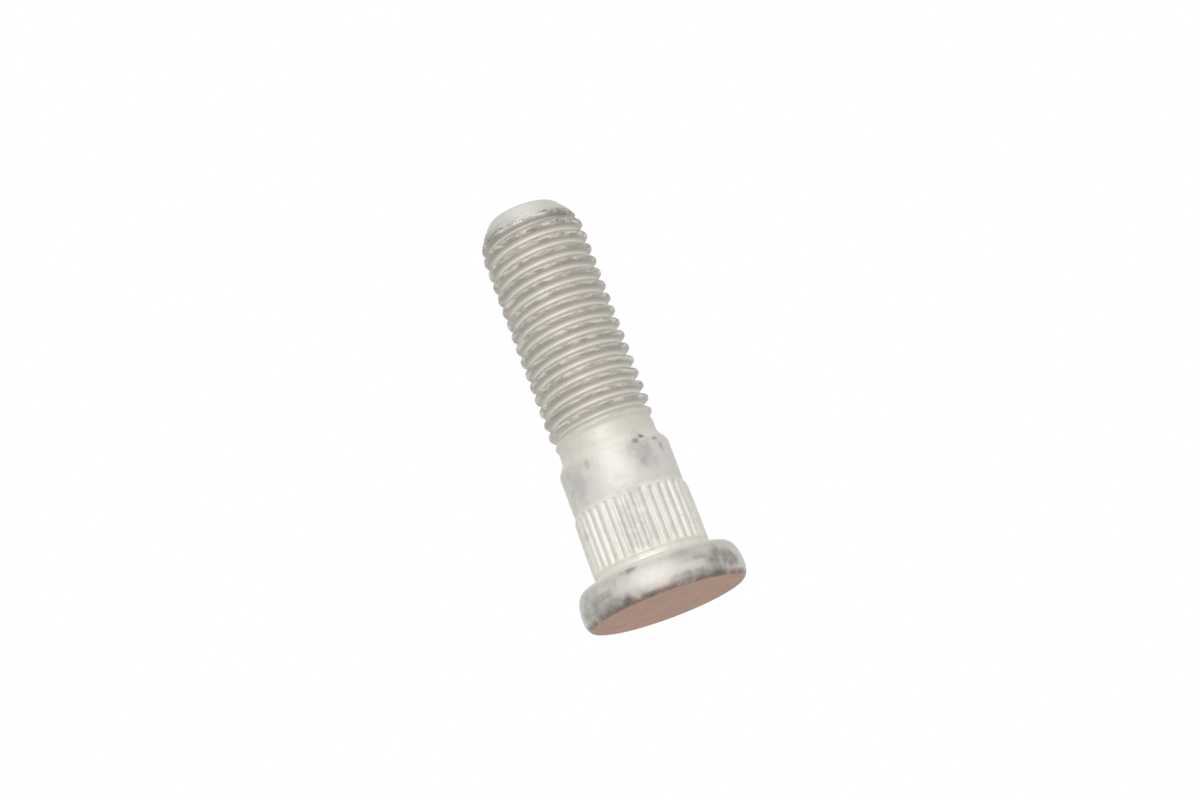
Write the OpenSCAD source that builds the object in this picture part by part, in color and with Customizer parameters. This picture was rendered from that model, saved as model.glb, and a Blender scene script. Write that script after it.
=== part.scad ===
// Press-in hub bolt: a round-rimmed head, a serrated seat, a plain shoulder,
// a waisted neck and a rolled right-hand thread with a chamfered point.
// It stands on its head, with the axis along Z. All sizes are in millimetres.

/* [Head] */
// Diameter of the head at its widest, halfway up the rim
head_d = 18.35; // [16.5:0.05:22]
// Diameter of the flat outer face, inside the rounded rim
face_d = 16.9; // [15:0.05:18.2]
// Thickness of the head from its outer face to its seat
head_t = 4.1; // [3:0.05:6]
// Share of the head's thickness at which the rim is widest
rim_share = 0.37; // [0.3:0.01:0.5]
// How far the rim rounds inwards up to the seat
rim_in = 1.05; // [0.5:0.05:1.4]

/* [Serrated seat] */
// Length of the plain band between the head and the serrations
land_len = 1.1; // [0.9:0.05:2.5]
// How far the plain band stands below the tops of the serrations
land_drop = 0.07; // [0.03:0.01:0.2]
// Radius of the fillet under the head
fillet_r = 0.4; // [0.2:0.05:0.8]
// Length of the serrations along the axis
knurl_len = 7; // [4:0.1:10]
// Number of serrations round the seat
knurl_n = 36; // [24:1:48]
// How far the serrations stand above the shoulder
knurl_rise = 0.28; // [0.12:0.01:0.4]
// Depth of the grooves between the serrations
groove_depth = 0.36; // [0.25:0.01:0.55]
// Share of the serration pitch that the groove takes at its mouth
groove_share = 0.46; // [0.3:0.01:0.6]
// Length over which the serrations rise from the shoulder
knurl_lead = 0.8; // [0.3:0.05:1.2]
// Height of the closed foot below each groove
groove_foot = 0.1; // [0.1:0.05:0.6]

/* [Shoulder and neck] */
// Diameter of the plain shoulder above the serrations
shoulder_d = 12.36; // [12:0.02:13.5]
// Length of the plain shoulder up to its rounded corner
shoulder_len = 4.45; // [2.5:0.05:7]
// Radius of the shoulder's upper corner
corner_r = 1.05; // [0.4:0.05:1.4]
// Slope of the shoulder's cone, measured from the axis
cone_angle = 35; // [27:1:45]
// Radius of the hollow where the cone runs into the neck
cove_r = 1.6; // [0.6:0.05:2.2]
// Length of the plain neck between the hollow and the thread
neck_len = 0.6; // [0.4:0.05:2]

/* [Thread] */
// Outer diameter of the thread
thread_d = 11.76; // [11.5:0.01:12]
// Pitch of the thread
pitch = 1.5; // [1.25:0.05:1.75]
// Depth of the thread as a share of its pitch
depth_share = 0.61; // [0.5:0.01:0.63]
// Length of the thread from the neck to the point of the bolt
thread_len = 27.25; // [18:0.05:36]
// Turns over which the thread fades out at the neck
fade_turns = 1.5; // [1:0.1:2.5]
// Angle by which the thread is turned about the axis
thread_turn = 53; // [0:1:359]

/* [Point] */
// Diameter of the flat end of the bolt
point_d = 7.55; // [6.5:0.05:8.6]
// Slope of the chamfer at the end, measured from the axis
point_angle = 39; // [30:1:45]
// Radius that blends the chamfer into the thread's crests
lead_r = 4.8; // [2:0.1:5.5]
// Radius of the edge of the flat end
point_round = 1.1; // [0.3:0.05:1.3]

/* [Hidden] */
COAT = [0.76, 0.74, 0.69];
ROUND = 96;          // sides of the turned shapes in the preview
ARC_STEPS = 5;       // steps in the larger rounded corners
TURN_STEPS = 40;     // steps in one turn of the thread
FLANK_ANGLE = 30;    // half angle of the thread form
FORM_POINTS = 4;     // corners of the thread form in one pitch
MISMATCH = 0.02;     // how far the thread's ends stay inside the turned shapes
STUB = 0.6;          // overlap of the turned shapes with the thread's core

head_r = head_d / 2;
face_r = min(face_d / 2, head_r - 0.1);
rim_z = head_t * rim_share;

shoulder_r = shoulder_d / 2;
knurl_r = shoulder_r + knurl_rise;
land_r = knurl_r - land_drop;
root_r = knurl_r - groove_depth;
knurl_z0 = head_t + land_len;
knurl_z1 = knurl_z0 + knurl_len;

// The thread is rolled, so the neck has the diameter of its blank.
thread_r = thread_d / 2;
thread_depth = pitch * depth_share;
core_r = thread_r - thread_depth;
neck_r = thread_r - 0.3248 * pitch;
flank_w = thread_depth * tan(FLANK_ANGLE);
crest_w = (pitch - 2 * flank_w) * 0.52;
form_z = [0, crest_w, crest_w + flank_w, pitch - flank_w];
form_r = [thread_r, thread_r, core_r, core_r];

// The cone's ends are tangent to the shoulder's corner and to the neck's hollow.
corner_z = knurl_z1 + shoulder_len;
turn_in = 1 - cos(cone_angle);
cone_top_r = neck_r + cove_r * turn_in;
cone_low_r = shoulder_r - corner_r * turn_in;
cone_low_z = corner_z + corner_r * sin(cone_angle);
cone_top_z = cone_low_z + (cone_low_r - cone_top_r) / tan(cone_angle);
cove_z = cone_top_z + cove_r * sin(cone_angle);
thread_z = cove_z + neck_len;
bolt_len = thread_z + thread_len;

// The chamfer's line, the arc tangent to it and to the crests, and its foot at
// the bottom of the thread.
point_r = point_d / 2;
lead_z = bolt_len - lead_r * sin(point_angle)
    - (thread_r - lead_r * (1 - cos(point_angle)) - point_r) / tan(point_angle);
lead_end_z = lead_z + lead_r * sin(point_angle);
lead_end_r = thread_r - lead_r * (1 - cos(point_angle));
core_end_z = core_r > lead_end_r ?
    lead_z + sqrt(lead_r * lead_r - pow(core_r - thread_r + lead_r, 2)) :
    bolt_len - (core_r - point_r) / tan(point_angle);
fade_len = fade_turns * pitch;

// Points of an arc from angle a to angle b, with radii ra across and rz along.
function arc(r, z, ra, rz, a, b, steps) =
    [for (i = [0:steps]) let (t = a + (b - a) * i / steps) [r + ra * cos(t), z + rz * sin(t)]];

// Outline of the point at a height: crests, blend, then chamfer.
function outline(z) =
    z <= lead_z ? thread_r :
    z <= lead_end_z ? thread_r - lead_r + sqrt(lead_r * lead_r - pow(z - lead_z, 2)) :
    point_r + (bolt_len - z) * tan(point_angle);

// Radius of a corner of the thread form, faded at the neck and cut at the point.
function thread_at(k, z) =
    let (share = max(0, min(1, (z - thread_z) / fade_len)))
    min(neck_r - MISMATCH + (form_r[k] - neck_r + MISMATCH) * share, outline(z));

// The head, with a rim that bulges from the outer face to the seat.
module head() {
    rotate_extrude($fn = ROUND)
        polygon(concat(
            [[0, 0], [face_r, 0]],
            arc(face_r, rim_z, head_r - face_r, rim_z, -50, 0, 3),
            arc(head_r - rim_in, rim_z, rim_in, head_t - rim_z, 15, 90, ARC_STEPS),
            [[0, head_t]]));
}

// The turned body between the head and the thread.
module seat_and_shoulder() {
    rotate_extrude($fn = ROUND)
        polygon(concat(
            [[0, head_t / 2], [land_r, head_t / 2], [land_r + fillet_r, head_t]],
            arc(land_r + fillet_r, head_t + fillet_r, fillet_r, fillet_r, 247.5, 180, 3),
            [[land_r, knurl_z0 - 2 * land_drop], [knurl_r, knurl_z0],
             [knurl_r, knurl_z1 - knurl_lead], [shoulder_r, knurl_z1]],
            arc(shoulder_r - corner_r, corner_z, corner_r, corner_r, 0, cone_angle, 3),
            arc(neck_r + cove_r, cove_z, cove_r, cove_r, 180 + cone_angle, 180, 3),
            [[neck_r, thread_z], [core_r - STUB, thread_z],
             [core_r - STUB, thread_z + STUB], [0, thread_z + STUB]]));
}

// The grooves that leave the serrations standing.
module knurl_grooves() {
    mouth = 360 / knurl_n * groove_share / 2;
    floor_half = mouth * 0.3;
    out = knurl_r + groove_depth;
    translate([0, 0, knurl_z0 + groove_foot])
        linear_extrude(height = knurl_len - groove_foot - knurl_lead / 2)
            for (i = [0:knurl_n - 1])
                rotate([0, 0, i * 360 / knurl_n + 180 / knurl_n])
                    polygon([[root_r, -root_r * tan(floor_half)], [knurl_r, -knurl_r * tan(mouth)],
                             [out, -knurl_r * tan(mouth)], [out, knurl_r * tan(mouth)],
                             [knurl_r, knurl_r * tan(mouth)], [root_r, root_r * tan(floor_half)]]);
}

// The threaded shank: rows of the form's corners climb with the helix, and the
// rows past either end are folded onto that end's ring.
module thread() {
    turns = ceil((core_end_z - thread_z) / pitch) + 2;
    last = turns * FORM_POINTS;
    start = thread_z - pitch;
    function height_at(i, j) = start + floor(i / FORM_POINTS) * pitch
        + form_z[i % FORM_POINTS] + pitch * (j / TURN_STEPS - 1);
    // First and last row of a column that count, folded rows taking their index.
    low = [for (j = [0:TURN_STEPS - 1])
        max([for (i = [0:last]) if (height_at(i, j) <= thread_z) i])];
    high = [for (j = [0:TURN_STEPS - 1])
        min([for (i = [0:last]) if (height_at(i, j) >= core_end_z) i])];
    function index(i, j) =
        j < TURN_STEPS ? max(low[j], min(high[j], i)) * TURN_STEPS + j : index(i + FORM_POINTS, 0);
    function corner(i, j) =
        let (z = max(thread_z, min(core_end_z, height_at(i, j))),
             r = thread_at(i % FORM_POINTS, z),
             t = 360 * j / TURN_STEPS + thread_turn)
        [r * cos(t), r * sin(t), z];
    points = [for (i = [0:last]) for (j = [0:TURN_STEPS - 1]) corner(i, j)];
    sides = [for (i = [-FORM_POINTS:last]) for (j = [0:TURN_STEPS - 1])
        let (a = index(i, j), b = index(i, j + 1), c = index(i + 1, j + 1), d = index(i + 1, j))
        each [if (a != b && b != c && c != a) [c, b, a], if (a != c && c != d && d != a) [d, c, a]]];
    ends = [[for (j = [0:TURN_STEPS - 1]) index(low[j], j)],
            [for (j = [TURN_STEPS - 1:-1:0]) index(high[j], j)]];
    polyhedron(points = points, faces = concat(sides, ends), convexity = 20);
}

// The chamfered end of the bolt.
module point() {
    base_r = core_r - MISMATCH;
    edge = point_round * tan((90 - point_angle) / 2);
    rotate_extrude($fn = ROUND)
        polygon(concat(
            [[0, core_end_z - STUB], [core_r - STUB, core_end_z - STUB],
             [core_r - STUB, core_end_z], [base_r, core_end_z]],
            core_r > lead_end_r ? [[lead_end_r - MISMATCH, lead_end_z]] : [],
            arc(point_r - edge, bolt_len - point_round, point_round, point_round,
                point_angle, 90, 3),
            [[0, bolt_len]]));
}

module hub_bolt() {
    color(COAT)
        union() {
            head();
            difference() {
                seat_and_shoulder();
                knurl_grooves();
            }
            thread();
            point();
        }
}

hub_bolt();
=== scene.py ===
"""A press-in hub bolt, drawn as one closed surface of rings and helical rows.

The forged head, the serrated seat, the shoulder, the neck, the rolled thread and
the chamfered point each make a stack of rows. A row is one ring round the bolt, or
one row of the thread that climbs as it goes round. The stacks are joined into one
grid, and the grid becomes one mesh with a zinc flake finish.

Sizes are in millimetres until the mesh is made, which is in metres.
"""
import logging
import math
from dataclasses import dataclass, field
from enum import Enum

import bpy
import numpy as np
from mathutils import Matrix, Vector


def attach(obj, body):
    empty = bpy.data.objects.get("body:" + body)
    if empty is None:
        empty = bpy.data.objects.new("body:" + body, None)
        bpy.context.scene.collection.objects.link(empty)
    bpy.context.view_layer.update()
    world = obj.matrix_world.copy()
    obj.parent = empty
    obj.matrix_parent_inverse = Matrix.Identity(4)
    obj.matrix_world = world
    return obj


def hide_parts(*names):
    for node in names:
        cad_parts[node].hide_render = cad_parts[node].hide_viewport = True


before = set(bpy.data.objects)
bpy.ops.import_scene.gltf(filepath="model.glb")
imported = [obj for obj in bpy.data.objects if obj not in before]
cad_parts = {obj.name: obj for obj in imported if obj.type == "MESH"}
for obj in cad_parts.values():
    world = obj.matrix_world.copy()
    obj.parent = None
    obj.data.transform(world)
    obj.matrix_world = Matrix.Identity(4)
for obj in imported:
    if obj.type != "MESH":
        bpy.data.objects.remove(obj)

LOG = logging.getLogger("hub_bolt")
MM = 0.001
PATCHES = "soft_patches"


# Tools


def smooth(x: np.ndarray | float, low: float, high: float) -> np.ndarray:
    """Rise smoothly from 0 at low to 1 at high: 3 t^2 - 2 t^3 of the clipped share t.

    Args:
        x: Values to judge.
        low: Value at which the rise starts.
        high: Value at which it ends.

    Returns:
        The share, from 0 to 1.
    """
    t = np.clip((np.asarray(x, dtype=float) - low) / (high - low), 0.0, 1.0)
    return t * t * (3.0 - 2.0 * t)


def value_noise(points: np.ndarray, cell: float, seed: int) -> np.ndarray:
    """Give seeded noise in space: a random lattice, blended with 3 t^2 - 2 t^3.

    Args:
        points: Array of points, with x, y, z in millimetres along its last axis.
        cell: Size of a lattice cell in millimetres.
        seed: Seed of the lattice.

    Returns:
        Noise from -1 to 1, one value per point.
    """
    side = 32
    lattice = np.random.default_rng(seed).uniform(-1.0, 1.0, (side, side, side))
    place = points / cell + 1000.0
    low = np.floor(place).astype(int)
    t = place - low
    t = t * t * (3.0 - 2.0 * t)
    total = np.zeros(points.shape[:-1])
    for corner in np.ndindex(2, 2, 2):
        i = (low + corner) % side
        weight = np.prod(np.where(np.array(corner) == 1, t, 1.0 - t), axis=-1)
        total += weight * lattice[i[..., 0], i[..., 1], i[..., 2]]
    return total


def arc(
    centre: tuple[float, float], radii: tuple[float, float], start: float, end: float, steps: int
) -> np.ndarray:
    """Give points of an elliptical arc: centre plus radii times cosine and sine.

    Args:
        centre: Radius and height of the arc's centre.
        radii: Half widths along the radius and along the height.
        start: First angle in degrees.
        end: Last angle in degrees.
        steps: Number of steps.

    Returns:
        Array of radius and height pairs.
    """
    t = np.radians(np.linspace(start, end, steps + 1))
    return np.stack([centre[0] + radii[0] * np.cos(t), centre[1] + radii[1] * np.sin(t)], axis=1)


class Zone(Enum):
    """Parts of the bolt's surface, which the finish tells apart."""

    FACE = 0
    RIM = 1
    SEAT = 2
    SERRATION = 3
    SHOULDER = 4
    NECK = 5
    THREAD = 6
    POINT = 7


@dataclass
class Stack:
    """A stack of rows: radius and height of every point, and its masks.

    Each array has one line per row and one column per direction round the bolt.
    """

    zone: Zone
    radius: np.ndarray
    height: np.ndarray
    masks: dict[str, np.ndarray] = field(default_factory=dict)

    @classmethod
    def turned(cls, zone: Zone, profile: np.ndarray, columns: int) -> "Stack":
        """Turn a profile about the axis: each of its points becomes one ring.

        Args:
            zone: Part of the surface.
            profile: Radius and height pairs.
            columns: Number of directions round the bolt.

        Returns:
            The stack of rings.
        """
        radius = np.repeat(profile[:, :1], columns, axis=1)
        height = np.repeat(profile[:, 1:], columns, axis=1)
        return cls(zone, radius, height)

    def mask(self, name: str) -> np.ndarray:
        """Give a mask by its name, or zeros where the stack has none."""
        return self.masks.get(name, np.zeros_like(self.radius))


# Parts of the bolt


@dataclass
class Head:
    """The forged head: a flat outer face and a rim that bulges out to the seat."""

    radius: float = 9.175
    face_radius: float = 8.45
    thickness: float = 4.1
    widest: float = 1.52
    rim_in: float = 1.05
    face_rings: tuple[float, ...] = (0.0, 1.5, 3.5, 5.5, 7.2, 8.2)
    face_gap: float = 0.06

    def face(self, columns: int) -> Stack:
        """Make the flat outer face: rings from the axis out to its edge.

        Args:
            columns: Number of directions round the bolt.

        Returns:
            The stack of rings.
        """
        radius = np.array(self.face_rings + (self.face_radius - self.face_gap,))
        profile = np.stack([radius, np.zeros_like(radius)], axis=1)
        return Stack.turned(Zone.FACE, profile, columns)

    def rim(self, columns: int) -> Stack:
        """Make the rim: an ellipse out to the widest ring, and one back in to the seat.

        Args:
            columns: Number of directions round the bolt.

        Returns:
            The stack of rings.
        """
        bulge = (self.radius - self.face_radius, self.widest)
        lower = arc((self.face_radius, self.widest), bulge, start=-86, end=0, steps=9)
        inner = (self.radius - self.rim_in, self.widest)
        upper = arc(inner, (self.rim_in, self.thickness - self.widest), start=9, end=90, steps=10)
        return Stack.turned(Zone.RIM, np.concatenate([lower, upper]), columns)


@dataclass
class Seat:
    """The serrated seat: a fillet, a plain band, and straight serrations."""

    base: float = 4.1
    band_len: float = 1.1
    band_radius: float = 6.39
    fillet: float = 0.4
    length: float = 7.0
    teeth: int = 36
    tooth_radius: float = 6.46
    groove_radius: float = 6.1
    shoulder_radius: float = 6.18
    lead: float = 0.8
    foot: float = 0.1
    mouth: float = 0.46
    flat_radius: float = 7.6
    tooth_columns: tuple[float, ...] = (-0.42, -0.315, -0.245, -0.15, 0.0, 0.15, 0.245, 0.315)
    seed: int = 12
    shallowest: float = 0.75
    front_wear: float = 0.65
    front_half: float = 18.0
    uneven_end: float = 0.1
    crown: float = 0.03
    taper: float = 0.05
    step: float = 0.12

    @property
    def bottom(self) -> float:
        """Give the height at which the serrations begin."""
        return self.base + self.band_len

    @property
    def top(self) -> float:
        """Give the height at which the serrations end."""
        return self.bottom + self.length

    def directions(self) -> np.ndarray:
        """Give the directions round the bolt: the same shares of every tooth.

        Returns:
            The directions in radians, from 0 to a full turn, in rising order.
        """
        tooth = np.arange(self.teeth)[:, None]
        share = np.array(self.tooth_columns)[None, :]
        angle = ((tooth + share) / self.teeth).ravel() * 2.0 * np.pi
        return np.sort(np.mod(angle, 2.0 * np.pi))

    def underhead(self, columns: int) -> Stack:
        """Make the head's seat, the fillet and the plain band.

        Args:
            columns: Number of directions round the bolt.

        Returns:
            The stack of rings.
        """
        corner = self.band_radius + self.fillet
        flat = np.array([[self.flat_radius, self.base], [corner + 0.1, self.base]])
        fillet = arc((corner, self.base + self.fillet), (self.fillet, self.fillet), 270, 180, steps=5)
        band_z = np.array([self.base + 0.7, self.bottom - 0.2])
        band = np.stack([np.full_like(band_z, self.band_radius), band_z], axis=1)
        return Stack.turned(Zone.SEAT, np.concatenate([flat, fillet, band]), columns)

    def serrations(self, angle: np.ndarray) -> Stack:
        """Make the serrations: a turned profile, lowered to the groove's floor in each groove.

        A groove's depth is a smooth step across the tooth times a smooth step along
        the axis at each of its ends. It is drawn at random for every groove, and
        less at the front, where the photo shows the serrations worn.

        Args:
            angle: Directions round the bolt, in radians.

        Returns:
            The stack of rings through the serrations.
        """
        top = self.top
        wall_low, wall_high = self.bottom + self.foot, top - self.lead / 2
        height = np.concatenate([
            [self.bottom - 0.08, self.bottom, wall_low, wall_low + self.step],
            np.linspace(wall_low + 0.5, wall_high - 0.6, 10),
            [wall_high - 0.22, wall_high - 0.1, wall_high, wall_high + self.step, top - 0.1, top],
        ])[:, None]
        base = (
            self.band_radius
            + (self.tooth_radius - self.band_radius) * smooth(height, self.bottom - 0.2, self.bottom)
            - (self.tooth_radius - self.shoulder_radius) * smooth(height, top - self.lead, top)
            - self.taper * smooth(height, top - 4.2, top - self.lead)
        )
        phase = angle * self.teeth / (2.0 * np.pi)
        tooth = np.round(phase).astype(int) % self.teeth
        share = np.abs(phase - np.round(phase))
        lip = 0.5 - self.mouth / 2

        rng = np.random.default_rng(self.seed)
        deep = rng.uniform(self.shallowest, 1.0, self.teeth + 1)[tooth]
        shift = rng.uniform(-self.uneven_end, self.uneven_end, self.teeth)[tooth][None, :]
        from_front = (np.degrees(angle) + 270.0) % 360.0 - 180.0
        deep *= 1.0 - self.front_wear * np.exp(-((from_front / self.front_half) ** 2))

        groove = smooth(share, lip - 0.06, lip + 0.13) * deep
        rise = smooth(height, wall_low, wall_low + self.step)
        along = rise * (1.0 - smooth(height + shift, wall_high - 0.1, wall_high))
        crown = self.crown * smooth(share, 0.0, lip)[None, :] * along
        radius = base - crown - (base - self.groove_radius) * groove[None, :] * along
        return Stack(Zone.SERRATION, radius, np.repeat(height, len(angle), axis=1))


@dataclass
class Shoulder:
    """The plain shoulder, its rounded corner, the cone and the neck."""

    base: float = 12.2
    radius: float = 6.18
    length: float = 4.45
    corner: float = 1.05
    cone_angle: float = 35.0
    cove: float = 1.6
    neck_radius: float = 5.393
    neck_len: float = 0.6

    @property
    def corner_z(self) -> float:
        """Give the height at which the plain shoulder ends and its corner begins."""
        return self.base + self.length

    @property
    def cove_z(self) -> float:
        """Give the height at which the hollow ends, tangent to the cone and the neck."""
        a = math.radians(self.cone_angle)
        low_r = self.radius - self.corner * (1 - math.cos(a))
        top_r = self.neck_radius + self.cove * (1 - math.cos(a))
        low_z = self.corner_z + self.corner * math.sin(a)
        return low_z + (low_r - top_r) / math.tan(a) + self.cove * math.sin(a)

    @property
    def top(self) -> float:
        """Give the height at which the neck ends and the thread begins."""
        return self.cove_z + self.neck_len

    def cylinder(self, columns: int) -> Stack:
        """Make the plain shoulder and its rounded corner.

        Args:
            columns: Number of directions round the bolt.

        Returns:
            The stack of rings.
        """
        height = np.linspace(self.base + 0.35, self.corner_z - 0.25, 9)
        plain = np.stack([np.full_like(height, self.radius), height], axis=1)
        centre = (self.radius - self.corner, self.corner_z)
        corner = arc(centre, (self.corner, self.corner), start=0, end=self.cone_angle, steps=5)
        return Stack.turned(Zone.SHOULDER, np.concatenate([plain, corner]), columns)

    def neck(self, columns: int) -> Stack:
        """Make the cone's upper end, the hollow and the plain neck.

        Args:
            columns: Number of directions round the bolt.

        Returns:
            The stack of rings.
        """
        centre = (self.neck_radius + self.cove, self.cove_z)
        hollow = arc(centre, (self.cove, self.cove), 180 + self.cone_angle, 180, steps=6)
        height = np.array([self.cove_z + 0.3, self.cove_z + 0.55])
        plain = np.stack([np.full_like(height, self.neck_radius), height], axis=1)
        return Stack.turned(Zone.NECK, np.concatenate([hollow, plain]), columns)


@dataclass
class Point:
    """The chamfered end: a blend from the crests, a cone and a flat end."""

    length: float = 46.46
    radius: float = 3.775
    angle: float = 39.0
    lead: float = 4.8
    edge: float = 1.1
    crest_radius: float = 5.88
    end_rings: tuple[float, ...] = (3.2, 1.8, 0.0)

    @property
    def slope(self) -> float:
        """Give the cone's angle from the axis in radians."""
        return math.radians(self.angle)

    @property
    def fall(self) -> float:
        """Give how far the blend comes in from the crests to the cone."""
        return self.lead * (1 - math.cos(self.slope))

    @property
    def lead_z(self) -> float:
        """Give the height at which the blend leaves the crests, tangent to the cone."""
        drop = (self.crest_radius - self.fall - self.radius) / math.tan(self.slope)
        return self.length - self.lead * math.sin(self.slope) - drop

    @property
    def lead_end(self) -> float:
        """Give the height at which the blend ends and the cone begins."""
        return self.lead_z + self.lead * math.sin(self.slope)

    def height_of(self, radius: float) -> float:
        """Give the height at which the blend or the cone has a radius.

        Args:
            radius: Radius in millimetres.

        Returns:
            The height in millimetres.
        """
        if radius > self.crest_radius - self.fall:
            across = radius - self.crest_radius + self.lead
            return self.lead_z + math.sqrt(self.lead**2 - across**2)
        return self.length - (radius - self.radius) / math.tan(self.slope)

    def outline(self, height: np.ndarray) -> np.ndarray:
        """Give the largest radius at a height: crests, then the blend's arc, then the cone.

        Args:
            height: Heights along the bolt.

        Returns:
            The radius at each height.
        """
        rise = np.clip(height - self.lead_z, 0.0, self.lead * math.sin(self.slope))
        blend = self.crest_radius - self.lead + np.sqrt(self.lead**2 - rise**2)
        cone = self.radius + (self.length - height) * math.tan(self.slope)
        return np.where(height <= self.lead_end, blend, cone)

    def end(self, start_radius: float, columns: int) -> Stack:
        """Make the cone above the thread's core, the rounded edge and the flat end.

        Args:
            start_radius: Radius of the core, where the last row of the thread lies.
            columns: Number of directions round the bolt.

        Returns:
            The stack of rings that closes the bolt.
        """
        inset = self.edge * math.tan((math.pi / 2 - self.slope) / 2)
        edge_start = self.radius - inset + self.edge * math.cos(self.slope)
        radius = np.linspace(start_radius, edge_start, 7)[1:-1]
        cone = np.stack([radius, np.array([self.height_of(r) for r in radius])], axis=1)
        edge = arc(
            (self.radius - inset, self.length - self.edge), (self.edge, self.edge), self.angle, 90, steps=5
        )
        flat = np.array([[radius, self.length] for radius in self.end_rings])
        return Stack.turned(Zone.POINT, np.concatenate([cone, edge, flat]), columns)


@dataclass
class Thread:
    """The rolled thread: rows that climb with the helix from the neck to the point."""

    bottom: float
    top: float
    neck_radius: float
    crest_radius: float = 5.88
    pitch: float = 1.5
    depth: float = 0.92
    crest_half: float = 0.12
    flank: float = 0.52
    crest_ease: float = 0.11
    root_ease: float = 0.08
    seam: float = 0.05
    seam_half: float = 0.055
    crest_reach: float = 0.2
    dent: float = 0.011
    torn_depth: float = 0.03
    torn_dent: float = 0.022
    bare_from: float = 44.45
    bare_to: float = 44.8
    noise_radius: float = 6.0
    fade_turns: float = 1.5
    phase: float = 1.104
    offsets: tuple[float, ...] = (
        -0.75, -0.67, -0.59, -0.38, -0.2, -0.13, -0.05, 0.03, 0.12, 0.19, 0.37, 0.58, 0.67,
    )

    def depth_at(self, offset: np.ndarray) -> np.ndarray:
        """Give the depth below the crest: flat, then a flank with eased ends, then the root.

        Args:
            offset: Distance along the axis from the crest's middle.

        Returns:
            The depth below the crests.
        """
        share = np.clip((np.abs(offset) - self.crest_half) / self.flank, -0.4, 1.3)
        low = 0.5 * (share + np.sqrt(share**2 + self.crest_ease**2))
        both = 1.0 - 0.5 * ((1.0 - low) + np.sqrt((1.0 - low) ** 2 + self.root_ease**2))
        return self.depth * (both + 0.02)

    def rows(self, angle: np.ndarray, point: Point) -> tuple[Stack, np.ndarray, np.ndarray]:
        """Make the thread's rows and say which of them are folded onto the end rings.

        A row's height is the helix's height for its turn, plus its place in the
        form, plus the pitch times the share of a turn. Heights are clipped to the
        thread's ends, and the radius is the form's, faded to the neck's and cut by
        the point's outline.

        Args:
            angle: Directions round the bolt, in radians from 0 to a full turn.
            point: The point, whose outline cuts the crests.

        Returns:
            The stack, and the first and the last row that count in each column.
        """
        per_turn = len(self.offsets)
        turns = int(math.ceil((self.top - self.bottom) / self.pitch)) + 3
        start = math.floor((self.bottom - self.phase) / self.pitch) * self.pitch + self.phase
        start -= self.pitch
        offset = np.tile(np.array(self.offsets), turns)
        turn = np.repeat(np.arange(turns), per_turn)
        climb = (angle / (2.0 * np.pi))[None, :] * self.pitch
        free = start + (turn * self.pitch + offset)[:, None] + climb
        low = np.argmax(free > self.bottom, axis=0) - 1
        high = np.argmax(free >= self.top, axis=0)
        height = np.clip(free, self.bottom, self.top)

        seam = np.exp(-((offset / self.seam_half) ** 2))[:, None]
        crest = np.exp(-((offset / self.crest_reach) ** 2))[:, None]
        flat = np.zeros_like(height)
        around = np.stack(
            [flat + np.cos(angle) * self.noise_radius,
             flat + np.sin(angle) * self.noise_radius, free], axis=-1)
        rough = value_noise(around, 0.5, 3) + 0.6 * value_noise(around, 0.22, 4)
        waves = value_noise(around, 1.6, 5)
        depth = self.depth_at(offset)[:, None] + seam * self.seam * (1.0 + 0.8 * waves)
        depth += crest * self.dent * rough
        share = np.clip((height - self.bottom) / (self.fade_turns * self.pitch), 0.0, 1.0)
        radius = self.neck_radius + (self.crest_radius - depth - self.neck_radius) * share

        limit = point.outline(height)
        begins = smooth(height, point.lead_z - 0.6, point.lead_z + 0.5)
        ends = 1.0 - smooth(height, self.bare_from, self.bare_to)
        torn = begins * smooth(radius - limit, -0.25, -0.02) * ends
        radius = np.minimum(radius, limit - torn * (self.torn_depth + self.torn_dent * rough))
        radius = np.where(free <= self.bottom, self.neck_radius, radius)
        radius = np.where(free >= self.top, point.outline(np.array(self.top)), radius)
        masks = {
            "raised": crest * share,
            # The hollow mask marks the thread's roots, which the finish paints paler as a painted
            # highlight.
            "hollow": smooth(limit - radius, 0.7 * self.depth, 0.95 * self.depth) * share,
            "lip": np.clip(offset, -0.3, 0.3)[:, None] * crest * share,
            "torn": torn,
        }
        return Stack(Zone.THREAD, radius, height, masks), low, high


# The whole bolt


@dataclass(frozen=True)
class Smudge:
    """A soft oval of colour, for marks on the coating and for painted shade: its angle and height, its
    half widths, and its strength.
    """

    angle: float
    height: float
    wide: float
    tall: float
    strength: float


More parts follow.
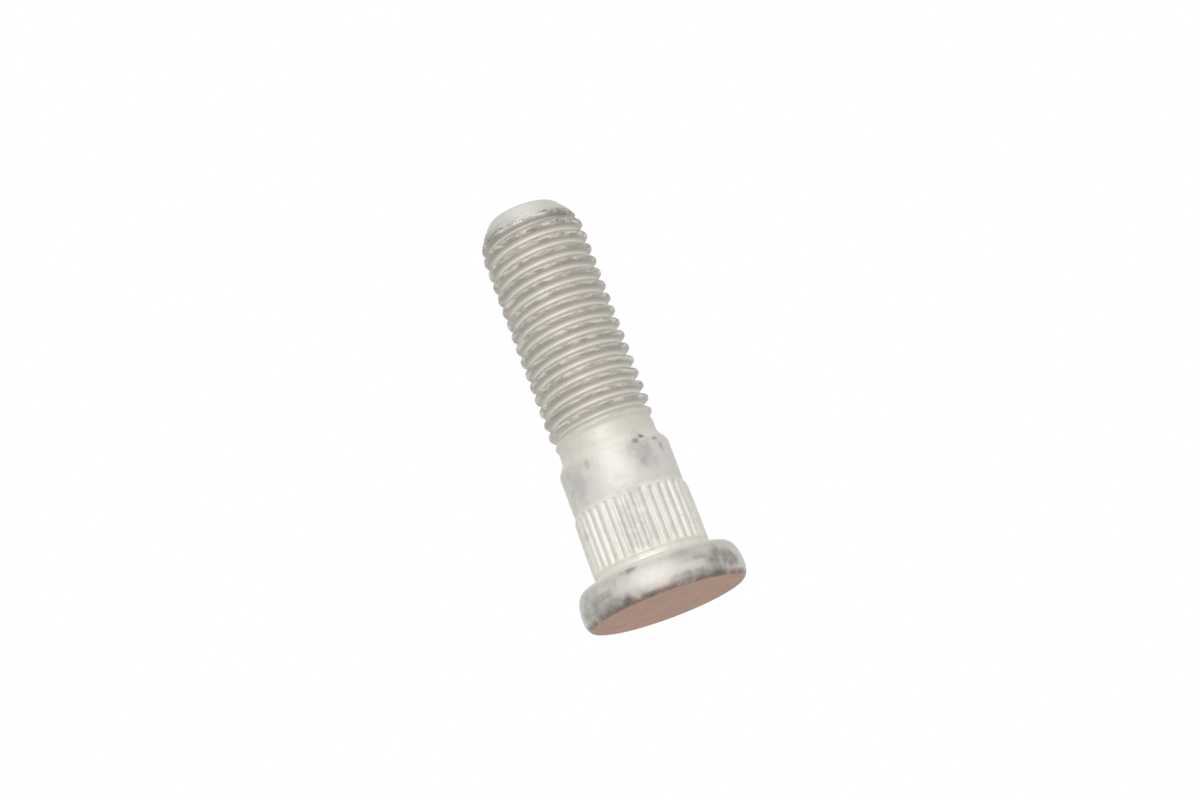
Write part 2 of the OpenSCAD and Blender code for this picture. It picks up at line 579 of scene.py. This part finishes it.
@dataclass
class HubBolt:
    """The bolt as one closed surface, stacked from the face of the head to the point."""

    head: Head = field(default_factory=Head)
    seat: Seat = field(default_factory=Seat)
    shoulder: Shoulder = field(default_factory=Shoulder)
    point: Point = field(default_factory=Point)
    core_depth: float = 0.915
    forging: dict[Zone, float] = field(default_factory=lambda: {
        Zone.RIM: 0.035,
        Zone.SEAT: 0.01,
        Zone.SERRATION: 0.012,
        Zone.SHOULDER: 0.012,
        Zone.NECK: 0.008,
        Zone.THREAD: 0.006,
        Zone.POINT: 0.012,
    })
    # Dark marks: mostly scuffs on the coating, but the rim's broad dark band is partly painted shade, and
    # the last two are painted shade on the sides of the first turn.
    scuffs: tuple[Smudge, ...] = (
        Smudge(-134, 0.9, 32, 0.95, 0.7),
        Smudge(-118, 0.6, 14, 0.5, 0.9),
        Smudge(-152, 1.4, 16, 1.3, 0.6),
        Smudge(-136, 2.0, 18, 0.5, 0.6),
        Smudge(-107, 3.4, 8, 0.3, 0.85),
        Smudge(-101, 0.2, 9, 0.3, 0.9),
        Smudge(-58, 0.7, 24, 0.6, 0.7),
        Smudge(-53, 0.25, 14, 0.35, 0.9),
        Smudge(-56, 2.3, 12, 0.45, 0.55),
        Smudge(-38, 1.7, 20, 1.2, 0.7),
        Smudge(-72, 3.2, 14, 0.4, 0.3),
        Smudge(-63, 16.8, 4, 0.3, 0.9),
        Smudge(-54, 17.1, 4, 0.2, 1.0),
        Smudge(-39, 16.7, 5, 0.25, 0.9),
        Smudge(-33, 15.7, 3, 0.3, 0.8),
        Smudge(-62, 14.2, 3, 0.25, 0.4),
        Smudge(-49, 14.3, 3, 0.25, 0.4),
        Smudge(-117, 16.3, 2.2, 0.35, 0.45),
        Smudge(-152, 9.6, 5, 0.4, 0.5),
        # Painted shade: the sides of the first turn, darkened.
        Smudge(-40, 44.1, 22, 0.5, 0.5),
        Smudge(-141, 44.1, 22, 0.5, 0.4),
    )
    # Soft grey spots, partly a haze on the coating and partly painted shade: they darken the sides of the
    # shoulder and the rim.
    haze_and_shade_spots: tuple[Smudge, ...] = (
        Smudge(-142, 15.2, 20, 2.2, 0.65),
        Smudge(-58, 15.6, 16, 1.9, 0.9),
        Smudge(-52, 14.4, 18, 1.4, 0.45),
        Smudge(-90, 8.8, 20, 4.2, 0.65),
        Smudge(-62, 2.9, 24, 0.8, 0.8),
        Smudge(-90, 3.4, 16, 0.4, 0.6),
        Smudge(-138, 2.9, 32, 0.9, 0.95),
        Smudge(40, 14.6, 34, 2.4, 0.6),
        Smudge(130, 14.0, 30, 2.0, 0.6),
        Smudge(80, 8.6, 30, 3.6, 0.5),
        Smudge(60, 2.4, 60, 1.2, 0.6),
        Smudge(150, 2.2, 40, 1.4, 0.6),
    )

    @staticmethod
    def hidden_scuffs() -> tuple[Smudge, ...]:
        """Give seeded scuffs for the sides that the photo doesn't show.

        Returns:
            The scuffs, at angles from 5 to 175 degrees.
        """
        rng = np.random.default_rng(8)
        count = 22
        return tuple(
            Smudge(*values)
            for values in zip(
                rng.uniform(5, 175, count), rng.choice((0.6, 0.9, 1.6, 2.4, 14.5, 16.6), count),
                rng.uniform(5, 22, count), rng.uniform(0.25, 0.6, count),
                rng.uniform(0.4, 0.9, count)))

    def surface(self) -> tuple[np.ndarray, list[np.ndarray], dict[str, np.ndarray]]:
        """Stack the parts into one grid and give its points, faces and masks.

        The faces join each row with the next and each column with the next one.
        Over the seam, a thread row joins the row one turn further up. Rows that
        are folded onto an end ring of the thread take that ring's points, and a
        face that loses a corner becomes a triangle.

        Returns:
            Points in millimetres, the lists of four and three cornered faces, and
            one mask per name.
        """
        angle = self.seat.directions()
        columns = len(angle)
        core = self.point.crest_radius - self.core_depth
        thread = Thread(
            bottom=self.shoulder.top,
            top=self.point.height_of(core),
            neck_radius=self.shoulder.neck_radius,
            crest_radius=self.point.crest_radius,
        )
        climbing, low, high = thread.rows(angle, self.point)
        below = [
            self.head.face(columns),
            self.head.rim(columns),
            self.seat.underhead(columns),
            self.seat.serrations(angle),
            self.shoulder.cylinder(columns),
            self.shoulder.neck(columns),
        ]
        above = [self.point.end(core, columns)]
        stacks = below + [climbing] + above
        for stack in stacks:
            LOG.info("%s: %d rows", stack.zone.name.lower(), len(stack.radius))
        radius = np.concatenate([s.radius for s in stacks])
        height = np.concatenate([s.height for s in stacks])
        zone = np.concatenate([np.full_like(s.radius, s.zone.value) for s in stacks])

        first = sum(len(s.radius) for s in below)
        count = len(climbing.radius)
        total = len(radius)
        quads, triangles = self._faces(total, first, count, low, high, len(thread.offsets))
        points = np.stack(
            [radius * np.cos(angle), radius * np.sin(angle), height], axis=-1
        )
        points = self._settle(points, zone)
        outer = (zone == Zone.FACE.value).astype(float)
        names = ("raised", "hollow", "lip", "torn")
        masks = {name: np.concatenate([s.mask(name) for s in stacks]) for name in names}
        # The mask of scuffs also carries painted shade on the rim and on the first turn.
        scuffs = self._spread(points, angle, self.scuffs + self.hidden_scuffs())
        masks["scuff_and_shade"] = scuffs * (1.0 - outer)
        masks["haze_and_shade"] = self._spread(points, angle, self.haze_and_shade_spots)
        masks["outer"] = outer
        return points, [quads, triangles], masks

    def _faces(
        self, total: int, first: int, count: int, low: np.ndarray, high: np.ndarray, per_turn: int
    ) -> tuple[np.ndarray, np.ndarray]:
        """Join the grid's points into faces that point outwards.

        Args:
            total: Number of rows.
            first: Index of the thread's first row.
            count: Number of the thread's rows.
            low: First row of the thread that counts, per column.
            high: Last row of the thread that counts, per column.
            per_turn: Rows in one turn of the thread.

        Returns:
            Four cornered faces and three cornered faces, as point numbers.
        """
        columns = len(low)
        row = np.arange(-per_turn, count + 1)
        here = np.clip(row[:, None], low[None, :], high[None, :]) + first
        after = np.roll(here, -1, axis=1)
        over = np.clip(row + per_turn, low[0], high[0]) + first
        after[:, -1] = over
        column = np.arange(columns)
        nxt = (column + 1) % columns

        def ring_pair(lower: int, upper: int) -> np.ndarray:
            """Join one plain ring with the next."""
            return np.stack(
                [lower * columns + column, lower * columns + nxt,
                 upper * columns + nxt, upper * columns + column], axis=-1)

        parts = [ring_pair(i, i + 1) for i in range(1, first - 1)]
        bottom_here, bottom_next = low + first, np.roll(low + first, -1)
        parts.append(np.stack(
            [(first - 1) * columns + column, (first - 1) * columns + nxt,
             bottom_next * columns + nxt, bottom_here * columns + column], axis=-1))
        a = here[:-1] * columns + column
        b = after[:-1] * columns + nxt
        c = after[1:] * columns + nxt
        d = here[1:] * columns + column
        parts.append(np.stack([a, b, c, d], axis=-1).reshape(-1, 4))
        end = first + count
        top_here, top_next = high + first, np.roll(high + first, -1)
        parts.append(np.stack(
            [top_here * columns + column, top_next * columns + nxt,
             end * columns + nxt, end * columns + column], axis=-1))
        parts += [ring_pair(i, i + 1) for i in range(end, total - 2)]
        quads = np.concatenate(parts)
        same = np.stack([quads[:, k] == quads[:, (k + 1) % 4] for k in range(4)], axis=1)
        whole = quads[~same.any(axis=1)]
        single = quads[same.sum(axis=1) == 1]
        drop = np.argmax(same[same.sum(axis=1) == 1], axis=1)
        keep = np.array([[1, 2, 3], [0, 2, 3], [0, 1, 3], [0, 1, 2]])[drop]
        folded = np.take_along_axis(single, keep, axis=1)
        bottom_cap = np.stack([np.zeros_like(column), columns + nxt, columns + column], axis=-1)
        last = (total - 1) * columns + np.zeros_like(column)
        top_ring = (total - 2) * columns
        top_cap = np.stack([last, top_ring + column, top_ring + nxt], axis=-1)
        return whole, np.concatenate([folded, bottom_cap, top_cap])

    def _settle(self, points: np.ndarray, zone: np.ndarray) -> np.ndarray:
        """Move the points out and in by a little noise, as a forged surface is.

        Args:
            points: Points in millimetres.
            zone: Zone number of each point.

        Returns:
            The moved points.
        """
        radial = points[..., :2] / np.maximum(
            np.linalg.norm(points[..., :2], axis=-1, keepdims=True), 1e-6)
        noise = value_noise(points, 2.6, 21) + 0.5 * value_noise(points, 1.1, 22)
        share = np.array([self.forging.get(kind, 0.0) for kind in Zone])[zone.astype(int)]
        moved = points.copy()
        moved[..., :2] += radial * (noise * share)[..., None]
        return moved

    def _spread(
        self, points: np.ndarray, angle: np.ndarray, spots: tuple[Smudge, ...]
    ) -> np.ndarray:
        """Give the mask of smudges: each is a soft oval, with an edge broken up by noise.

        Args:
            points: Points in millimetres.
            angle: Directions round the bolt, in radians.
            spots: The smudges.

        Returns:
            The mask, from 0 to 1.
        """
        degrees = np.degrees(angle)[None, :]
        ragged = value_noise(points, 1.5, 31) + 0.7 * value_noise(points, 0.6, 32)
        mask = np.zeros(points.shape[:-1])
        for spot in spots:
            turn = (degrees - spot.angle + 180.0) % 360.0 - 180.0
            rise = (points[..., 2] - spot.height) / spot.tall
            reach = np.sqrt((turn / spot.wide) ** 2 + rise**2) + 0.34 * ragged
            mask = np.maximum(mask, spot.strength * (1.0 - smooth(reach, 0.4, 1.3)))
        return mask

    def build(self, name: str) -> bpy.types.Object:
        """Put the surface into one mesh, with its masks as point attributes.

        Args:
            name: Name of the object.

        Returns:
            The object, linked to the scene.
        """
        grid, (quads, triangles), masks = self.surface()
        points = grid.reshape(-1, 3)
        used, inverse = np.unique(
            np.concatenate([quads.ravel(), triangles.ravel()]), return_inverse=True)
        loops = inverse.astype(np.int32)
        sizes = np.concatenate([np.full(len(quads), 4), np.full(len(triangles), 3)])
        starts = np.concatenate([[0], np.cumsum(sizes)[:-1]])
        mesh = bpy.data.meshes.new(name)
        mesh.vertices.add(len(used))
        mesh.vertices.foreach_set("co", (points[used] * MM).ravel())
        mesh.loops.add(len(loops))
        mesh.loops.foreach_set("vertex_index", loops)
        mesh.polygons.add(len(sizes))
        mesh.polygons.foreach_set("loop_start", starts.astype(np.int32))
        mesh.polygons.foreach_set("loop_total", sizes.astype(np.int32))
        mesh.polygons.foreach_set("use_smooth", np.ones(len(sizes), dtype=bool))
        mesh.update(calc_edges=True)
        mesh.validate(verbose=False)
        for key, mask in masks.items():
            layer = mesh.attributes.new(key, "FLOAT", "POINT")
            layer.data.foreach_set("value", mask.ravel()[used].astype(np.float32))
        obj = bpy.data.objects.new(name, mesh)
        bpy.context.scene.collection.objects.link(obj)
        LOG.info("%s: %d points, %d faces", name, len(used), len(sizes))
        return obj


# Finishes


class NodeBench:
    """A small helper that adds shader nodes to a tree and links them."""

    def __init__(self, tree: bpy.types.NodeTree) -> None:
        """Keep the tree."""
        self.tree = tree

    def add(self, kind: str, inputs: dict | None = None, **settings: object) -> bpy.types.Node:
        """Add a node, set its properties, and set or link its inputs.

        Args:
            kind: Blender's name of the node type.
            inputs: Value or source socket per input name or number.
            settings: Properties of the node.

        Returns:
            The node.
        """
        node = self.tree.nodes.new(kind)
        for key, value in settings.items():
            setattr(node, key, value)
        for key, value in (inputs or {}).items():
            if isinstance(value, bpy.types.NodeSocket):
                self.tree.links.new(value, node.inputs[key])
            else:
                node.inputs[key].default_value = value
        return node

    def math(self, operation: str, *values: object, clamp: bool = False) -> bpy.types.NodeSocket:
        """Add a Math node.

        Args:
            operation: What the node does.
            values: Its numbers or source sockets, in order.
            clamp: Whether the result stays between 0 and 1.

        Returns:
            The result.
        """
        node = self.add("ShaderNodeMath", dict(enumerate(values)), operation=operation)
        node.use_clamp = clamp
        return node.outputs[0]

    def mix(self, share: object, a: object, b: object) -> bpy.types.NodeSocket:
        """Mix two colours.

        Args:
            share: Share of the second colour, as a number or a socket.
            a: First colour.
            b: Second colour.

        Returns:
            The mixed colour.
        """
        node = self.add("ShaderNodeMix", data_type="RGBA")
        for socket, value in zip((node.inputs[0], node.inputs[6], node.inputs[7]), (share, a, b)):
            if isinstance(value, bpy.types.NodeSocket):
                self.tree.links.new(value, socket)
            else:
                socket.default_value = value
        return node.outputs[2]

    def ramp(self, source: object, low: float, high: float) -> bpy.types.NodeSocket:
        """Map a range smoothly to 0 to 1: 3 t^2 - 2 t^3 of the clipped share t.

        Args:
            source: Socket to map.
            low: Value that becomes 0.
            high: Value that becomes 1.

        Returns:
            The mapped value.
        """
        node = self.add(
            "ShaderNodeMapRange",
            {0: source, 1: low, 2: high, 3: 0.0, 4: 1.0},
            interpolation_type="SMOOTHSTEP",
        )
        return node.outputs[0]

    def noise(self, place: object, scale: float, detail: float, rough: float) -> bpy.types.NodeSocket:
        """Add a noise texture.

        Args:
            place: Socket of the place, in millimetres.
            scale: Features per millimetre.
            detail: Number of finer layers.
            rough: Strength of the finer layers.

        Returns:
            The noise's value.
        """
        node = self.add(
            "ShaderNodeTexNoise",
            {"Vector": place, "Scale": scale, "Detail": detail, "Roughness": rough},
        )
        return node.outputs[0]

    def attribute(self, name: str) -> bpy.types.NodeSocket:
        """Read a point attribute of the mesh."""
        return self.add("ShaderNodeAttribute", attribute_name=name).outputs["Fac"]

    def patches(
        self, place: object, scale: float, low: float, high: float, detail: float = 3.0
    ) -> bpy.types.NodeSocket:
        """Place the shared effect of soft patches and give its mask.

        Args:
            place: Socket of the place on the surface, in millimetres.
            scale: Patches per millimetre.
            low: Noise at which a patch begins.
            high: Noise at which it is full.
            detail: Finer layers of the noise.

        Returns:
            The mask, from 0 to 1.
        """
        group = bpy.data.node_groups.get(PATCHES) or patch_group()
        inputs = {"Place": place, "Scale": scale, "Detail": detail, "Low": low, "High": high}
        return self.add("ShaderNodeGroup", inputs, node_tree=group).outputs["Mask"]


def patch_group() -> bpy.types.NodeTree:
    """Make the shared effect: soft patches where a noise lies above a limit.

    Returns:
        The shader node group.
    """
    tree = bpy.data.node_groups.new(PATCHES, "ShaderNodeTree")
    tree.interface.new_socket("Place", in_out="INPUT", socket_type="NodeSocketVector")
    for name in ("Scale", "Detail", "Low", "High"):
        tree.interface.new_socket(name, in_out="INPUT", socket_type="NodeSocketFloat")
    tree.interface.new_socket("Mask", in_out="OUTPUT", socket_type="NodeSocketFloat")
    bench = NodeBench(tree)
    given = bench.add("NodeGroupInput").outputs
    noise = bench.noise(given["Place"], given["Scale"], given["Detail"], 0.6)
    bench.add("NodeGroupOutput", {"Mask": bench.ramp(noise, given["Low"], given["High"])})
    return tree


def linear(red: int, green: int, blue: int) -> tuple[float, float, float, float]:
    """Turn a screen colour into the linear colour that a shader takes.

    Args:
        red: Red, from 0 to 255.
        green: Green, from 0 to 255.
        blue: Blue, from 0 to 255.

    Returns:
        Linear red, green and blue, and a full alpha.
    """
    srgb = np.array([red, green, blue]) / 255.0
    value = np.where(srgb <= 0.04045, srgb / 12.92, ((srgb + 0.055) / 1.055) ** 2.4)
    return (*(float(v) for v in value), 1.0)


@dataclass(frozen=True)
class ZincFlake:
    """The coating: pale and dull, with grey scuffs and painted shade, painted highlights in the thread's
    roots and on its crests, and a brown face.
    """

    metallic: float = 0.35
    roughness: float = 0.5
    stops: tuple[tuple[float, tuple[int, int, int]], ...] = (
        (0.0, (208, 199, 188)),
        (0.6, (226, 222, 213)),
        (2.4, (222, 218, 209)),
        (3.6, (204, 201, 193)),
        (3.95, (216, 213, 202)),
        (4.6, (236, 234, 223)),
        (8.0, (236, 234, 225)),
        (12.0, (234, 231, 223)),
        (12.5, (230, 227, 221)),
        (16.6, (228, 224, 218)),
        (17.3, (226, 222, 210)),
        (20.0, (226, 222, 211)),
        (21.6, (204, 199, 191)),
        (43.6, (199, 194, 185)),
        (44.8, (205, 203, 196)),
        (46.46, (206, 204, 198)),
    )
    drawn_out: tuple[float, float, float] = (1.0, 1.0, 5.0)
    # Dark grey of the scuffs and of the painted shade.
    scuff_and_shade: tuple[int, int, int] = (108, 106, 103)
    # Grey of the haze and of the painted shade.
    haze_and_shade: tuple[int, int, int] = (194, 192, 185)
    cool: tuple[int, int, int] = (206, 206, 203)
    # Near white cream: the painted highlight in the thread's roots.
    root: tuple[int, int, int] = (239, 236, 225)
    # Near white: painted glints on the crests, and bare chips on the torn first turn.
    patch: tuple[int, int, int] = (250, 246, 240)
    pit: tuple[int, int, int] = (120, 112, 105)
    edge: tuple[int, int, int] = (140, 102, 88)
    face: tuple[int, int, int] = (164, 120, 94)
    face_pale: tuple[int, int, int] = (188, 148, 122)

    def material(self, name: str) -> bpy.types.Material:
        """Make the material: the coat, the thread's wear and painted glints, the head's marks, then the
        gloss.

        Args:
            name: Name of the material.

        Returns:
            The material.
        """
        material = bpy.data.materials.new(name)
        material.use_nodes = True
        tree = material.node_tree
        tree.nodes.clear()
        bench = NodeBench(tree)
        place = bench.add("ShaderNodeTexCoord").outputs["Object"]
        mm = bench.add("ShaderNodeVectorMath", {0: place, 3: 1.0 / MM}, operation="SCALE").outputs[0]
        height = bench.add("ShaderNodeSeparateXYZ", {0: mm}).outputs[2]
        fine = bench.noise(mm, 2.6, 4.0, 0.6)
        grit = bench.noise(mm, 6.0, 3.0, 0.65)

        colour = self._coat(bench, mm, height)
        colour = self._crests(bench, mm, colour)
        colour = self._marks(bench, mm, height, fine, colour)
        uneven = bench.math("MULTIPLY", bench.math("SUBTRACT", fine, 0.5), 0.3)
        rough = bench.math("ADD", self.roughness, uneven)
        grain = bench.math("ADD", fine, bench.math("MULTIPLY", grit, 0.5))
        bump = bench.add("ShaderNodeBump", {"Height": grain, "Strength": 0.35, "Distance": 0.00006})
        inputs = {"Base Color": colour, "Metallic": self.metallic, "Roughness": rough}
        inputs["Normal"] = bump.outputs[0]
        shader = bench.add("ShaderNodeBsdfPrincipled", inputs)
        bench.add("ShaderNodeOutputMaterial", {0: shader.outputs[0]})
        return material

    def _coat(
        self, bench: NodeBench, mm: bpy.types.NodeSocket, height: bpy.types.NodeSocket
    ) -> bpy.types.NodeSocket:
        """Colour the coat by its height, with cool cloudy patches and pale hollows.

        Args:
            bench: Helper that adds nodes.
            mm: Place on the surface in millimetres.
            height: Height in millimetres.

        Returns:
            The colour.
        """
        top = self.stops[-1][0]
        tint = bench.add("ShaderNodeValToRGB", {0: bench.math("DIVIDE", height, top)})
        ramp = tint.color_ramp
        while len(ramp.elements) < len(self.stops):
            ramp.elements.new(0.5)
        for element, (z, colour) in zip(ramp.elements, self.stops):
            element.position = z / top
            element.color = linear(*colour)
        cooled = bench.math("MULTIPLY", bench.patches(mm, 1.1, 0.5, 0.7), 0.4)
        colour = bench.mix(cooled, tint.outputs[0], linear(*self.cool))
        # Haze and painted shade: the spots grey the coat, broken up by soft patches.
        haze_and_shade_share = bench.math("MULTIPLY", bench.attribute("haze_and_shade"), bench.patches(mm, 0.8, 0.25, 0.6))
        colour = bench.mix(haze_and_shade_share, colour, linear(*self.haze_and_shade))
        # Painted highlight: the thread's roots are painted near white, where light lands in the hollows.
        hollow = bench.math("MULTIPLY", bench.attribute("hollow"), 0.95)
        return bench.mix(hollow, colour, linear(*self.root))

    def _crests(
        self, bench: NodeBench, mm: bpy.types.NodeSocket, colour: bpy.types.NodeSocket
    ) -> bpy.types.NodeSocket:
        """Add painted glints on the crests' lower lip, dark bits drawn out along the crests, and dark and
        bright bits on the torn first turn.

        Args:
            bench: Helper that adds nodes.
            mm: Place on the surface in millimetres.
            colour: Colour so far.

        Returns:
            The colour.
        """
        lip, torn = bench.attribute("lip"), bench.attribute("torn")
        along = bench.add(
            "ShaderNodeVectorMath", {0: mm, 1: self.drawn_out}, operation="MULTIPLY").outputs[0]
        # Painted highlight: near-white glints on the crests' lower lip.
        low_lip = bench.math("MULTIPLY", bench.ramp(lip, 0.0, -0.06), bench.ramp(lip, -0.17, -0.11))
        bright = bench.math("MULTIPLY", bench.patches(along, 0.55, 0.48, 0.56), low_lip)
        colour = bench.mix(bench.math("MULTIPLY", bright, 0.75), colour, linear(*self.patch))
        raised = bench.attribute("raised")
        streaks = bench.math("MULTIPLY", bench.patches(along, 0.9, 0.5, 0.6), raised)
        colour = bench.mix(bench.math("MULTIPLY", streaks, 0.5), colour, linear(*self.pit))
        pits = bench.math("MULTIPLY", bench.patches(along, 1.4, 0.48, 0.57), torn)
        colour = bench.mix(bench.math("MULTIPLY", pits, 0.65), colour, linear(*self.pit))
        chips = bench.math("MULTIPLY", bench.patches(mm, 2.2, 0.56, 0.6, 2.0), torn)
        return bench.mix(bench.math("MULTIPLY", chips, 0.45), colour, linear(*self.patch))

    def _marks(
        self,
        bench: NodeBench,
        mm: bpy.types.NodeSocket,
        height: bpy.types.NodeSocket,
        fine: bpy.types.NodeSocket,
        colour: bpy.types.NodeSocket,
    ) -> bpy.types.NodeSocket:
        """Add the brown outer face, a dark reddish band round it, and the dark scuffs with painted shade.

        Args:
            bench: Helper that adds nodes.
            mm: Place on the surface in millimetres.
            height: Height in millimetres.
            fine: Fine noise.
            colour: Colour so far.

        Returns:
            The colour.
        """
        outer = bench.attribute("outer")
        broad = bench.math("MULTIPLY", bench.patches(mm, 0.45, 0.3, 0.7), 0.5)
        grain = bench.math("MULTIPLY", bench.ramp(fine, 0.3, 0.7), 0.5)
        brown = bench.mix(
            bench.math("ADD", broad, grain), linear(*self.face), linear(*self.face_pale))
        colour = bench.mix(outer, colour, brown)
        beside = bench.math("SUBTRACT", 1.0, outer)
        # A dark reddish band on the lowest part of the rim, next to the face.
        dark_edge_band = bench.math("MULTIPLY", bench.ramp(height, 0.8, 0.15), beside)
        dark_edge_band = bench.math("MULTIPLY", dark_edge_band, bench.patches(mm, 0.9, 0.15, 0.55))
        colour = bench.mix(bench.math("MULTIPLY", dark_edge_band, 0.85), colour, linear(*self.edge))
        # Scuffs and painted shade: a soft darkening, with a mottle on top.
        mottle = bench.math("MULTIPLY", bench.patches(mm, 1.0, 0.3, 0.66), 0.5)
        share = bench.math("ADD", mottle, 0.5)
        scuff_and_shade_share = bench.math("MULTIPLY", bench.attribute("scuff_and_shade"), share)
        return bench.mix(scuff_and_shade_share, colour, linear(*self.scuff_and_shade))


# Studio


@dataclass(frozen=True)
class SoftLamp:
    """A square soft lamp that points at the middle of the bolt."""

    name: str
    place: tuple[float, float, float]
    size: float
    watts: float

    def put(self, target: Vector) -> bpy.types.Object:
        """Put the lamp in the scene.

        Args:
            target: Point that the lamp faces.

        Returns:
            The lamp.
        """
        data = bpy.data.lights.new(self.name, "AREA")
        data.shape = "SQUARE"
        data.size = self.size
        data.energy = self.watts
        lamp = bpy.data.objects.new(self.name, data)
        lamp.location = self.place
        lamp.rotation_euler = (target - Vector(self.place)).to_track_quat("-Z", "Y").to_euler()
        bpy.context.scene.collection.objects.link(lamp)
        return lamp


@dataclass(frozen=True)
class Studio:
    """A pale floor, a white world, soft lamps and the camera."""

    world_light: float = 0.43
    floor_half: float = 1.5
    floor_z: float = -0.00005
    aim: tuple[float, float, float] = (0.0, 0.0, 0.023)
    place: tuple[float, float, float] = (0.000829, -0.29486, -0.04963)
    tilt: float = 13.951
    roll: float = 20.573
    lens: float = 84.329
    lamps: tuple[SoftLamp, ...] = (
        SoftLamp("key_lamp", (-0.03, -0.45, 0.14), 0.34, 0.76),
        SoftLamp("top_lamp", (0.0, -0.12, 0.5), 0.3, 0.5),
    )

    def floor(self) -> bpy.types.Object:
        """Make the floor: a pale plane that is clear from below.

        The photo looks up at the face of the head from below the level on which the
        bolt stands, so only rays of the camera that come from above meet the floor.

        Returns:
            The floor.
        """
        half = self.floor_half
        z = self.floor_z
        corners = [(-half, -half, z), (half, -half, z), (half, half, z), (-half, half, z)]
        mesh = bpy.data.meshes.new("floor")
        mesh.from_pydata(corners, [], [(0, 1, 2, 3)])
        floor = bpy.data.objects.new("floor", mesh)
        bpy.context.scene.collection.objects.link(floor)
        material = bpy.data.materials.new("pale_floor")
        material.use_nodes = True
        tree = material.node_tree
        tree.nodes.clear()
        bench = NodeBench(tree)
        paint = bench.add("ShaderNodeBsdfDiffuse", {"Color": linear(238, 237, 234)})
        clear = bench.add("ShaderNodeBsdfTransparent")
        camera = bench.add("ShaderNodeLightPath").outputs["Is Camera Ray"]
        back = bench.add("ShaderNodeNewGeometry").outputs["Backfacing"]
        front = bench.math("SUBTRACT", 1.0, back)
        shown = bench.math("MULTIPLY", camera, front)
        both = bench.add(
            "ShaderNodeMixShader", {0: shown, 1: clear.outputs[0], 2: paint.outputs[0]})
        output = bench.add("ShaderNodeOutputMaterial", {0: both.outputs[0]})
        output.name = "floor_output"
        mesh.materials.append(material)
        return floor

    def world(self) -> None:
        """Make the world: plain white for the camera and reflections, softer as light."""
        world = bpy.data.worlds.new("studio")
        bpy.context.scene.world = world
        world.use_nodes = True
        tree = world.node_tree
        tree.nodes.clear()
        bench = NodeBench(tree)
        path = bench.add("ShaderNodeLightPath")
        seen = bench.math(
            "MAXIMUM", path.outputs["Is Camera Ray"],
            bench.math("MAXIMUM", path.outputs["Is Glossy Ray"], path.outputs["Is Transmission Ray"]))
        strength = bench.add(
            "ShaderNodeMapRange", {0: seen, 1: 0.0, 2: 1.0, 3: self.world_light, 4: 1.0})
        sky = bench.add(
            "ShaderNodeBackground", {"Color": (1.0, 1.0, 1.0, 1.0), "Strength": strength.outputs[0]})
        bench.add("ShaderNodeOutputWorld", {0: sky.outputs[0]})

    def camera(self) -> bpy.types.Object:
        """Make the camera: it looks up at the bolt from below and is rolled to one side.

        The forward direction is tilted up by the tilt, and right and up are turned
        about it by the roll.

        Returns:
            The camera.
        """
        tilt, roll = math.radians(self.tilt), math.radians(self.roll)
        forward = Vector((0.0, math.cos(tilt), math.sin(tilt)))
        side, up = Vector((1.0, 0.0, 0.0)), Vector((0.0, -math.sin(tilt), math.cos(tilt)))
        right = side * math.cos(roll) - up * math.sin(roll)
        above = side * math.sin(roll) + up * math.cos(roll)
        data = bpy.data.cameras.new("camera")
        data.lens = self.lens
        data.sensor_width = 36.0
        data.sensor_fit = "HORIZONTAL"
        data.clip_start = 0.01
        data.clip_end = 20.0
        camera = bpy.data.objects.new("camera", data)
        turn = Matrix((right, above, -forward)).transposed().to_4x4()
        camera.matrix_world = Matrix.Translation(Vector(self.place)) @ turn
        bpy.context.scene.collection.objects.link(camera)
        bpy.context.scene.camera = camera
        return camera

    def build(self) -> None:
        """Put the floor, the world, the lamps and the camera in the scene."""
        bpy.context.scene.view_settings.view_transform = "Standard"
        self.floor()
        self.world()
        for lamp in self.lamps:
            lamp.put(Vector(self.aim))
        self.camera()
        LOG.info("studio: floor, world, %d lamps and camera", len(self.lamps))


def main() -> None:
    """Build the studio and the bolt."""
    logging.basicConfig(level=logging.INFO, format="%(message)s")
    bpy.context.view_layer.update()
    Studio().build()
    bolt = HubBolt().build("coated_hub_bolt")
    bolt.data.materials.append(ZincFlake().material("zinc_flake"))
    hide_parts("hub_bolt")
    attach(bolt, "root")
    bpy.context.view_layer.update()


if __name__ == "__main__":
    main()
